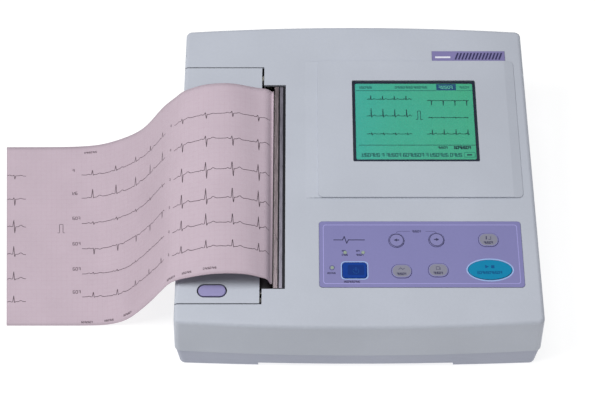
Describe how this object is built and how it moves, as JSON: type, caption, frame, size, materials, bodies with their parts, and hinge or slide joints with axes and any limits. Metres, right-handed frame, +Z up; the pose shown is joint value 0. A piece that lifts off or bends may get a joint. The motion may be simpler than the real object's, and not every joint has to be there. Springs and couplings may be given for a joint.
{
  "type": "electrocardiograph recorder",
  "caption": "Desktop ECG recorder: sloped case, display, key panel and a side paper drawer with platen, print head and chart strip.",
  "frame": {"origin": "on the table surface under the middle of the case", "axes": "+X to the right of the operator, +Y to the back, +Z up; the front with the key panel faces -Y"},
  "size_m": [0.5209, 0.3395, 0.1048],
  "materials": {
    "case_grey": "fine texture",
    "case_grey_lower": "fine texture",
    "rubber_black": "matte",
    "steel_zinc": "zinc plated",
    "battery_wrap": "shrink sleeve",
    "clear_window": "clear",
    "mask_black": "printed border",
    "lcd_green": "reflective LCD",
    "steel_plain": "bright",
    "panel_violet": "printed overlay",
    "key_blue": "satin",
    "key_cyan": "satin",
    "key_violet": "satin",
    "pcb_green": "solder mask",
    "switch_black": "satin",
    "led_clear": "light pipe",
    "badge_violet": "satin",
    "tray_grey": "moulded",
    "paper_white": "thermal paper",
    "paper_pink": "thermal chart paper",
    "platen_rubber": "ground",
    "shaft_steel": "ground",
    "bush_nylon": "acetal",
    "gear_acetal": "acetal",
    "pinion_brass": "machined",
    "motor_steel": "satin",
    "head_ceramic": "glazed",
    "aluminium": "anodised",
    "tear_steel": "satin",
    "cap_aluminium": "satin",
    "button_violet": "satin",
    "spring_steel": "bright",
    "transformer_core": "varnished",
    "speaker_black": "satin",
    "contact_brass": "bright",
    "rocker_black": "gloss",
    "connector_blue": "satin",
    "cable_grey": "flat ribbon",
    "chassis_black": "blackened"
  },
  "bodies": {
    "case": {"upper_case": "case_grey", "lower_case": "case_grey_lower", "rubber_feet": "rubber_black", "case_screws": "steel_zinc", "battery_door": "case_grey_lower", "battery_pack": "battery_wrap", "display_window": "clear_window", "display_mask": "mask_black", "lcd_glass": "lcd_green", "lcd_frame": "steel_plain", "panel_overlay": "panel_violet", "key_board": "pcb_green", "tact_switches": "switch_black", "status_leds": "led_clear", "badge_plate": "badge_violet", "idler_pin": "shaft_steel", "stepper_motor": "motor_steel", "recorder_chassis": "chassis_black", "chassis_screws": "steel_zinc", "slide_rails": "chassis_black", "head_pivot_pins": "shaft_steel", "head_bracket": "chassis_black", "tear_bar": "tear_steel", "bar_cap": "cap_aluminium", "main_board": "pcb_green", "power_board": "pcb_green", "transformer": "transformer_core", "speaker": "speaker_black", "mains_inlet": "rocker_black", "inlet_pins": "contact_brass", "switch_body": "rocker_black", "patient_connector": "connector_blue", "usb_socket": "steel_plain", "earth_terminal": "contact_brass", "flat_cables": "cable_grey"},
    "drawer": {"drawer_lid": "case_grey", "drawer_tray": "tray_grey", "paper_pack": "paper_white", "paper_strip": "paper_pink", "platen_bushes": "bush_nylon", "latch_pin": "shaft_steel", "button_spring": "spring_steel"},
    "platen": {"platen_shaft": "shaft_steel", "platen_roller": "platen_rubber", "platen_gear": "gear_acetal"},
    "idler": {"idler_gear": "gear_acetal"},
    "motor_rotor": {"motor_pinion": "pinion_brass"},
    "print_head": {"head_heatsink": "aluminium", "thermal_head": "head_ceramic", "head_springs": "spring_steel"},
    "release": {"release_button": "button_violet"},
    "latch": {"latch_lever": "bush_nylon"},
    "rocker": {"switch_rocker": "rocker_black"},
    "power_key_body": {"power_key": "key_blue"},
    "start_stop_key_body": {"start_stop_key": "key_cyan"},
    "lead_back_key_body": {"lead_back_key": "key_violet"},
    "lead_forward_key_body": {"lead_forward_key": "key_violet"},
    "mode_key_body": {"mode_key": "key_violet"},
    "feed_key_body": {"feed_key": "key_violet"},
    "copy_key_body": {"copy_key": "key_violet"}
  },
  "joints": [
    {"name": "drawer_slide", "type": "slide", "parent": "case", "child": "drawer", "axis": [-1, 0, 0], "range_m": [0, 0.138]},
    {"name": "platen_spin", "type": "hinge", "parent": "drawer", "child": "platen", "pos_m": [-0.08705, 0.00111, 0.0714], "axis": [0, 0.9963, 0.0857], "continuous": true},
    {"name": "idler_spin", "type": "hinge", "parent": "case", "child": "idler", "pos_m": [-0.06945, 0.10638, 0.07859], "axis": [0, 0.9963, 0.0857], "continuous": true},
    {"name": "motor_spin", "type": "hinge", "parent": "case", "child": "motor_rotor", "pos_m": [-0.06013, 0.10734, 0.06753], "axis": [0, 0.9963, 0.0857], "continuous": true},
    {"name": "head_tilt", "type": "hinge", "parent": "case", "child": "print_head", "pos_m": [-0.0666, 0.002, 0.06104], "axis": [0, 0.9963, 0.0857], "range_deg": [0, 2.5], "stiffness_Nm_per_rad": 3, "springref_deg": -6.88},
    {"name": "release_press", "type": "slide", "parent": "drawer", "child": "release", "axis": [0, 0.0857, -0.9963], "range_m": [0, 0.0025], "stiffness_N_per_m": 500, "springref_m": -0.004, "deforming": ["button_spring"]},
    {"name": "latch_pivot", "type": "hinge", "parent": "drawer", "child": "latch", "pos_m": [-0.112, -0.13034, 0.05708], "axis": [0, -0.9963, -0.0857], "range_deg": [0, 8.2]},
    {"name": "mains_rocker", "type": "hinge", "parent": "case", "child": "rocker", "pos_m": [0.0735, 0.16128, 0.042], "axis": [-1, 0, 0], "range_deg": [0, 16]},
    {"name": "power_key_press", "type": "slide", "parent": "case", "child": "power_key_body", "axis": [0, 0.0857, -0.9963], "range_m": [0, 0.0006], "stiffness_N_per_m": 800, "springref_m": -0.0008},
    {"name": "start_stop_key_press", "type": "slide", "parent": "case", "child": "start_stop_key_body", "axis": [0, 0.0857, -0.9963], "range_m": [0, 0.0006], "stiffness_N_per_m": 800, "springref_m": -0.0008},
    {"name": "lead_back_key_press", "type": "slide", "parent": "case", "child": "lead_back_key_body", "axis": [0, 0.0857, -0.9963], "range_m": [0, 0.0006], "stiffness_N_per_m": 800, "springref_m": -0.0008},
    {"name": "lead_forward_key_press", "type": "slide", "parent": "case", "child": "lead_forward_key_body", "axis": [0, 0.0857, -0.9963], "range_m": [0, 0.0006], "stiffness_N_per_m": 800, "springref_m": -0.0008},
    {"name": "mode_key_press", "type": "slide", "parent": "case", "child": "mode_key_body", "axis": [0, 0.0857, -0.9963], "range_m": [0, 0.0006], "stiffness_N_per_m": 800, "springref_m": -0.0008},
    {"name": "feed_key_press", "type": "slide", "parent": "case", "child": "feed_key_body", "axis": [0, 0.0857, -0.9963], "range_m": [0, 0.0006], "stiffness_N_per_m": 800, "springref_m": -0.0008},
    {"name": "copy_key_press", "type": "slide", "parent": "case", "child": "copy_key_body", "axis": [0, 0.0857, -0.9963], "range_m": [0, 0.0006], "stiffness_N_per_m": 800, "springref_m": -0.0008}
  ],
  "couplings": [
    {"joint": "idler_spin", "follows": "platen_spin", "ratio": -0.83333},
    {"joint": "motor_spin", "follows": "platen_spin", "ratio": 1.6667},
    {"joint": "latch_pivot", "follows": "release_press", "rad_per_m": 55.85}
  ]
}
